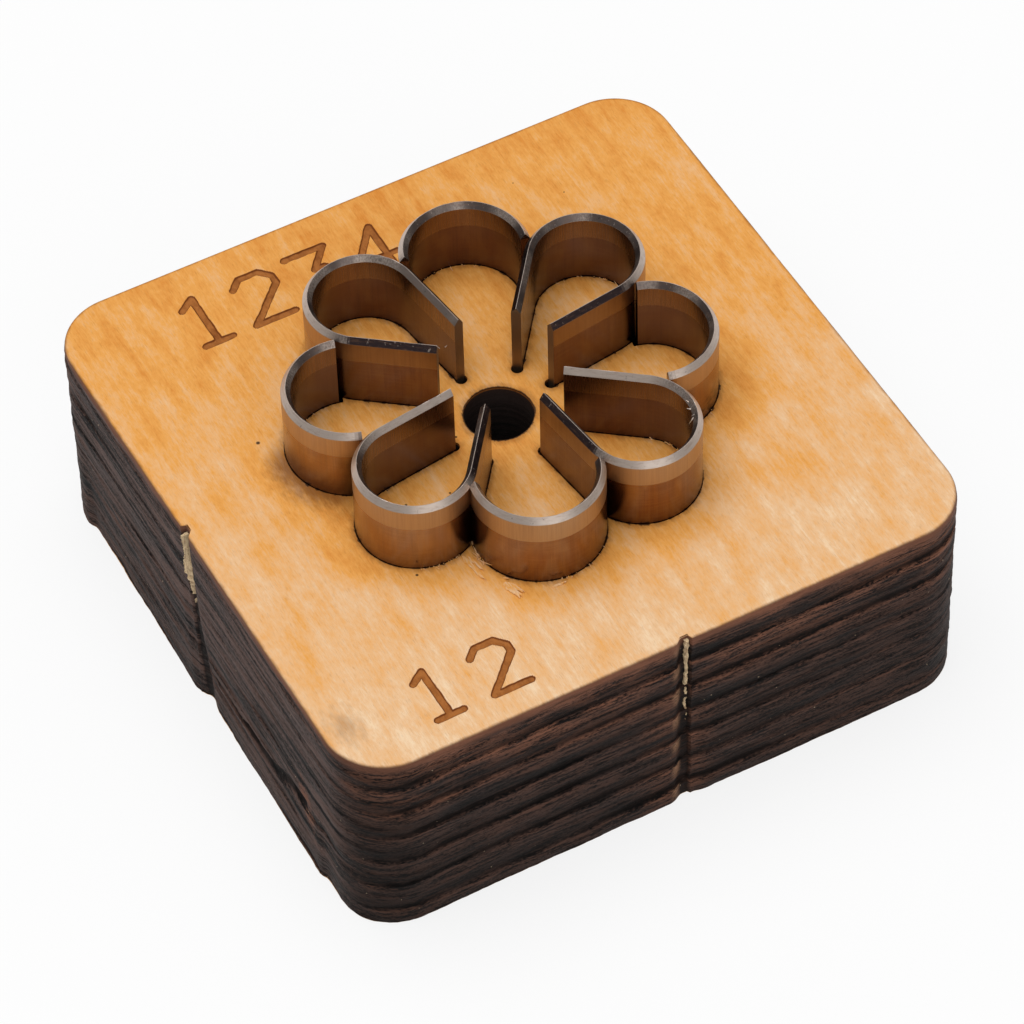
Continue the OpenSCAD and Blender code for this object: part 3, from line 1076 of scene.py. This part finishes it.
def board_levels():
    """Heights of the rows of the sides, several to a ply, close together at the glue lines"""
    _, _, board, _ = settings()
    ply = BOARD_TOP / board.plies
    rows = [ply * (count + share) for count in range(board.plies) for share in PLY_ROWS]
    return rows[1:] + [BOARD_TOP]


def kerf_walls(bm):
    """The walls of the slots and of the hole, from the frame's own board"""
    bm.from_mesh(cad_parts["die_board"].data)
    bmesh.ops.remove_doubles(bm, verts=bm.verts, dist=FLAT)
    spare = []
    for face in bm.faces:
        middle = face.calc_center_median()
        outside = max(abs(middle.x), abs(middle.y)) > INNER_ZONE
        level = all(abs(v.co.z - BOARD_TOP) < FLAT for v in face.verts)
        level = level or all(abs(v.co.z) < FLAT for v in face.verts)
        if outside or level:
            spare.append(face)
    bmesh.ops.delete(bm, geom=spare, context="FACES")


def rim(bm, height):
    """The open edges of the mesh at one height"""
    return [e for e in bm.edges if e.is_boundary
            and all(abs(v.co.z - height) < FLAT for v in e.verts)]


# Strokes of plain engraved digits, on a grid 4 wide and 6 high
DIGITS = {
    "1": [[(0.6, 5.0), (2.0, 6.0), (2.0, 0.0)], [(0.6, 0.0), (3.4, 0.0)]],
    "2": [[(0.0, 5.0), (1.0, 6.0), (3.0, 6.0), (4.0, 5.0), (4.0, 4.0), (0.0, 0.0), (4.0, 0.0)]],
    "3": [[(0.0, 6.0), (4.0, 6.0), (2.0, 3.6), (3.0, 3.6), (4.0, 2.6), (4.0, 1.0), (3.0, 0.0),
           (1.0, 0.0), (0.0, 1.0)]],
    "4": [[(3.0, 0.0), (3.0, 6.0), (0.0, 2.0), (4.0, 2.0)]],
}
# Each number: its digits, the place of its low corner, its height and the gap between its digits
MARKS = (("12", (-17.6, -22.0), 4.3, 1.95), ("1234", (-15.9, 16.5), 4.7, 1.45))
GROOVE_HALF = 0.32 * MM
GROOVE_DEPTH = 0.16 * MM
PATCH_STEP = 0.085 * MM
PATCH_EDGE = 0.50 * MM


def segment_distance(p, a, b):
    run = b - a
    t = min(1.0, max(0.0, (p - a).dot(run) / run.length_squared))
    return (p - a - run * t).length


def mark_strokes(word, corner, height, gap):
    """The strokes of a number as pairs of points on the board"""
    unit = height / 6
    strokes = []
    for count, digit in enumerate(word):
        start = Vector((corner[0] + count * (4 * unit + gap), corner[1]))
        for line in DIGITS[digit]:
            points = [(start + Vector(point) * unit) * MM for point in line]
            strokes += list(zip(points, points[1:]))
    return strokes


def engrave_mark(bm, word, corner, height, gap):
    """A fine patch of the top face with a number burnt into it, and its outer edges"""
    strokes = mark_strokes(word, corner, height, gap)
    ends = [point for stroke in strokes for point in stroke]
    low = Vector((min(p.x for p in ends), min(p.y for p in ends))) - Vector((PATCH_EDGE, PATCH_EDGE))
    high = Vector((max(p.x for p in ends), max(p.y for p in ends))) + Vector((PATCH_EDGE, PATCH_EDGE))
    span, middle = (high - low) / 2, (high + low) / 2
    grid = bmesh.ops.create_grid(
        bm, x_segments=round(2 * span.x / PATCH_STEP), y_segments=round(2 * span.y / PATCH_STEP),
        size=1.0, matrix=Matrix.Translation((*middle, BOARD_TOP)) @ Matrix.Diagonal((*span, 1, 1)))
    border = [e for v in grid["verts"] for e in v.link_edges if e.is_boundary]
    for vert in grid["verts"]:
        if vert.is_boundary:
            continue
        near = min(segment_distance(vert.co.xy, a, b) for a, b in strokes)
        rough = noise.noise(vert.co * 2600) * 0.03 * MM + noise.noise(vert.co * 800) * 0.05 * MM
        wall = 1 - ease(near + rough, GROOVE_HALF * 0.55, GROOVE_HALF)
        vert.co.z -= GROOVE_DEPTH * wall * (0.85 + 0.3 * noise.noise(vert.co * 900))
    return list(set(border))


class DIE_OT_board(bpy.types.Operator):
    """Builds the board: burnt ply edges, slots, push-out hole and engraved numbers"""
    bl_idname = "die.board"
    bl_label = "Board"

    def execute(self, context):
        _, _, board, _ = settings()
        bm = bmesh.new()
        kerf_walls(bm)
        layer = bm.verts.layers.float.new("burn")
        top_edges, low_edges = rim(bm, BOARD_TOP), rim(bm, 0.0)
        ring = outline_ring(bm)
        low_edges += ring
        side = list({v for e in ring for v in e.verts})
        height = 0.0
        for level in board_levels():
            ring, verts = raise_ring(bm, ring, (0, 0, level - height))
            height = level
            side += verts
        ring, lip = raise_ring(bm, ring, (0, 0, 0))
        for vert in lip:
            vert.co -= outline_normal(vert.co) * EDGE_RING
        for vert in side:
            depth = BOARD_TOP - vert.co.z
            out = outline_normal(vert.co)
            split = SPLIT_BURN * crevice(vert.co, out, depth)
            vert[layer] = max(ply_burn(vert.co, out, depth), split)
            back = board.recess * vert[layer] + side_grain(vert.co, depth) * ease(depth, 0.0, 0.3 * MM)
            relief, slot_share = nick_relief(vert.co, depth)
            vert[layer] = max(vert[layer], 0.75 * slot_share)
            back += relief + TOP_ROUND * (1 - ease(depth, 0.0, TOP_ROUND_REACH))
            back += lower_edge_wander(vert.co, out, depth)
            vert.co -= out * back
        top_edges += ring
        for mark in MARKS:
            top_edges += engrave_mark(bm, *mark)
        for edges, up in ((top_edges, 1), (low_edges, -1)):
            bmesh.ops.triangle_fill(
                bm, use_beauty=True, use_dissolve=False, edges=edges, normal=(0, 0, up))
        bmesh.ops.recalc_face_normals(bm, faces=bm.faces)
        smooth_but_sharp(bm, SHARP_WOOD)
        finish_piece(bm, "board_plywood", finish_of("charred_plywood", plywood_finish),
                     ["die_board"])
        return {"FINISHED"}


# Broken tabs and lifted fibres

STUB_ROWS = 110
STUB_COLUMNS = 6
STUB_ROOT = 0.44 * MM
STUB_BACK = 0.5 * MM
# Start of each stub below the top, its length, its height over the groove and its width from the
# top down, in millimetres
STUBS = ((0.35, 8.8, 0.28, (0.34, 0.26, 0.20, 0.24, 0.16, 0.14, 0.03)),
         (0.60, 7.0, 0.98, (0.22, 0.20, 0.30, 0.80, 1.00, 0.30, 0.20, 0.04)))


class DIE_OT_tab_stubs(bpy.types.Operator):
    """Leaves a torn ridge of raw wood in both nicks"""
    bl_idname = "die.tab_stubs"
    bl_label = "Tab Stubs"

    def execute(self, context):
        for count, ((place, out, along), lean, stub) in enumerate(
                zip(nick_places(), NICK_LEANS, STUBS)):
            start, length, height, widths = stub
            start, length = start * MM, length * MM
            bm = bmesh.new()
            made = bmesh.ops.create_grid(bm, x_segments=STUB_COLUMNS, y_segments=STUB_ROWS, size=0.5)
            for vert in made["verts"]:
                across, down = vert.co.x, 0.5 - vert.co.y
                fade = 1 - down
                tear = noise.noise(Vector((across * 4, down * 46, count * 9.0)))
                sway = (noise.noise(Vector((down * 7, count * 5.0, 1.0))) * 0.16
                        + noise.noise(Vector((down * 34, count * 5.0, 4.0))) * 0.08) * MM
                sway -= lean * (1 - 2 * (start + down * length) / BOARD_TOP)
                spot = min(down, 0.999) * (len(widths) - 1)
                low, high = widths[int(spot)], widths[int(spot) + 1]
                width = low + (high - low) * (spot - int(spot))
                tall = height * (0.45 + 0.55 * width / max(widths))
                width *= (1 + 0.8 * noise.noise(Vector((down * 22, 2.0, count)))) * MM
                gap = ease(noise.noise(Vector((down * 15, 7.0, count))), 0.05, 0.25)
                gap *= ease(down, 0.45, 0.7)
                lift = (tall * (1 - abs(across) * 1.3) + 0.16 * tear) * MM * (0.35 + 0.65 * fade)
                lift -= gap * 0.4 * MM
                vert.co = (place - out * STUB_ROOT + along * (across * width + sway)
                           + out * lift + Vector((0, 0, BOARD_TOP - start - down * length)))
            thicken(bm, bm.faces[:], -out * STUB_BACK)
            smooth_but_sharp(bm, SHARP_WOOD)
            finish_piece(bm, f"tab_stub_{count + 1}", finish_of("raw_wood", raw_wood_finish))
        return {"FINISHED"}


# Each tuft: place of its petal in pairs, side of the rule (-1 inside, 1 outside), angle from the
# petal's crown in degrees, spread in degrees, number of fibres and their length in millimetres
TUFTS = (
    (1.5, -1, 90, 60, 40, 0.7), (1.5, -1, -20, 40, 20, 0.5),
    (2.0, -1, 20, 70, 36, 0.6), (2.0, 1, 60, 30, 16, 0.5),
    (3.0, -1, -30, 70, 40, 0.7), (3.0, -1, 70, 30, 20, 0.6),
    (2.5, 1, -75, 18, 18, 0.9), (2.5, 1, 40, 50, 12, 0.4),
    (3.5, 1, 20, 60, 18, 0.5), (0.0, -1, 10, 60, 18, 0.5),
    (0.5, -1, 30, 60, 18, 0.5), (1.0, -1, 20, 60, 18, 0.5),
)
# Each flake: place of its root, heading in degrees, length, width and lift, in millimetres
FLAKES = (
    (-8.80, -10.05, -84, 2.6, 0.34, 0.05), (-8.50, -10.30, -80, 1.6, 0.20, 0.08),
    (-7.40, -13.60, -80, 1.7, 0.62, 0.08), (-7.15, -13.90, -70, 1.2, 0.36, 0.12),
    (-4.75, -15.58, -6, 1.1, 0.20, 0.08), (-7.27, -13.15, -60, 0.4, 0.16, 0.12),
)
FIBRE_SIDES = 4
FIBRE_OFF = 0.06 * MM
FIBRE_SINK = 0.03 * MM
FLAKE_STEPS = 14
FLAKE_THICK = 0.04 * MM


class DIE_OT_kerf_fibres(bpy.types.Operator):
    """Lifts short fibres and flakes of veneer along the slots"""
    bl_idname = "die.kerf_fibres"
    bl_label = "Kerf Fibres"

    def execute(self, context):
        flower, rule, _, _ = settings()
        draw = random.Random(7)
        bm = bmesh.new()
        for place, side, angle, spread, count, length in TUFTS:
            is_loop = place == int(place)
            centre = Vector((flower.loop_centre if is_loop else flower.arc_centre, 0, 0))
            radius = loop_radius() if is_loop else flower.arc_radius
            radius += side * (rule.thickness / 2 + FIBRE_OFF)
            for _ in range(count):
                spot = centre + direction(math.radians(angle + draw.gauss(0, spread / 2))) * radius
                spot = petal_frame(place) @ (spot + direction(draw.uniform(0, math.tau)) * 0.05 * MM)
                reach = length * MM * draw.uniform(0.4, 1.1)
                way = Vector((draw.gauss(0, 0.3), draw.choice((-1, 1)), draw.uniform(0.1, 0.7)))
                root = Vector((spot.x, spot.y, BOARD_TOP - FIBRE_SINK))
                thick = draw.uniform(0.03, 0.065) * MM
                add_splinter(bm, root, way.normalized(), reach, thick, FIBRE_SIDES)
        for flake in FLAKES:
            self.add_flake(bm, *flake)
        finish_piece(bm, "kerf_fibres", finish_of("lifted_veneer", lifted_veneer_finish))
        return {"FINISHED"}

    def add_flake(self, bm, x, y, heading, length, width, lift):
        """A thin tongue of veneer that has peeled up at its far end"""
        made = bmesh.ops.create_grid(bm, x_segments=FLAKE_STEPS, y_segments=4, size=0.5)["verts"]
        ahead = direction(math.radians(heading))
        aside = Vector((-ahead.y, ahead.x, 0))
        for vert in made:
            along, across = vert.co.x + 0.5, vert.co.y
            fray = 1 + 0.6 * noise.noise(Vector((along * 9, across * 5, x)))
            taper = ease(along, -0.15, 0.25) * (1 - 0.75 * along ** 3)
            rise = lift * along ** 2 * (1 + 0.5 * noise.noise(Vector((along * 4, across * 3, y))))
            vert.co = (Vector((x, y, 0)) + ahead * along * length * fray ** 0.3
                       + aside * across * width * taper * fray + Vector((0, 0, rise))) * MM
            vert.co.z += BOARD_TOP + 0.01 * MM
        thicken(bm, list({face for vert in made for face in vert.link_faces}), (0, 0, FLAKE_THICK))


# Stage

FLOOR_GAP = 0.02 * MM
FLOOR_HALF = 2.0
WORLD_STRENGTH = 0.42
SENSOR = 36
NEAREST = 0.01
# Each lamp: place and size in metres, and power in watts
LAMPS = {"key_light": ((-0.12, 0.10, 0.90), 0.8, 6.0),
         "front_light": ((-0.05, -0.75, 0.40), 0.7, 1.2)}


class DIE_OT_stage(bpy.types.Operator):
    """Sets up the floor, the soft light and the camera"""
    bl_idname = "die.stage"
    bl_label = "Stage"

    def execute(self, context):
        self.add_floor()
        self.add_light()
        self.add_camera()
        context.scene.view_settings.view_transform = "Standard"
        return {"FINISHED"}

    def add_floor(self):
        bm = bmesh.new()
        bmesh.ops.create_grid(bm, x_segments=1, y_segments=1, size=FLOOR_HALF,
                              matrix=Matrix.Translation((0, 0, -FLOOR_GAP)))
        floor = add_object(bm, "floor", floor_finish())

    def add_light(self):
        world = bpy.data.worlds.new("studio")
        bpy.context.scene.world = world
        world.use_nodes = True
        sky = world.node_tree.nodes["Background"]
        sky.inputs["Color"].default_value = (1, 1, 1, 1)
        sky.inputs["Strength"].default_value = WORLD_STRENGTH
        for name, (spot, size, power) in LAMPS.items():
            lamp = bpy.data.lights.new(name, "AREA")
            lamp.size = size
            lamp.energy = power
            holder = bpy.data.objects.new(name, lamp)
            holder.location = spot
            holder.rotation_euler = (-Vector(spot)).to_track_quat("-Z", "Y").to_euler()
            bpy.context.scene.collection.objects.link(holder)

    def add_camera(self):
        _, _, _, stage = settings()
        az, el = stage.azimuth, stage.elevation
        back = Vector((math.sin(az) * math.cos(el), -math.cos(az) * math.cos(el), math.sin(el)))
        right = Vector((math.cos(az), math.sin(az), 0))
        up = back.cross(right)
        c, s = math.cos(stage.roll), math.sin(stage.roll)
        right, up = right * c + up * s, up * c - right * s
        spot = back * stage.distance - right * stage.offset[0] - up * stage.offset[1]
        spot += Vector((0, 0, BOARD_TOP))
        lens = bpy.data.cameras.new("camera")
        lens.lens = stage.lens
        lens.sensor_width = SENSOR
        lens.clip_start = NEAREST
        camera = bpy.data.objects.new("camera", lens)
        axes = Matrix((right, up, back)).transposed().to_4x4()
        camera.matrix_world = Matrix.Translation(spot) @ axes
        bpy.context.scene.collection.objects.link(camera)
        bpy.context.scene.camera = camera


class DIE_PT_panel(bpy.types.Panel):
    """Lists the steps that build the die"""
    bl_idname = "DIE_PT_panel"
    bl_label = "Steel Rule Die"
    bl_space_type = "VIEW_3D"
    bl_region_type = "UI"
    bl_category = "Die"

    def draw(self, context):
        for operator in OPERATORS:
            self.layout.operator(operator.bl_idname)


GROUPS = {"die_flower": FlowerSettings, "die_rule": RuleSettings,
          "die_board": BoardSettings, "die_stage": StageSettings}
OPERATORS = (DIE_OT_board, DIE_OT_loop_rules, DIE_OT_arc_rules, DIE_OT_edge_burrs,
             DIE_OT_tab_stubs, DIE_OT_kerf_fibres, DIE_OT_stage)
CLASSES = (*GROUPS.values(), *OPERATORS, DIE_PT_panel)


def register():
    for item in CLASSES:
        bpy.utils.register_class(item)
    for name, group in GROUPS.items():
        setattr(bpy.types.Scene, name, PointerProperty(type=group))


def unregister():
    for name in GROUPS:
        delattr(bpy.types.Scene, name)
    for item in reversed(CLASSES):
        bpy.utils.unregister_class(item)


def main():
    register()
    bpy.ops.die.board()
    bpy.ops.die.loop_rules()
    bpy.ops.die.arc_rules()
    bpy.ops.die.edge_burrs()
    bpy.ops.die.tab_stubs()
    bpy.ops.die.kerf_fibres()
    bpy.ops.die.stage()


if __name__ == "__main__":
    main()
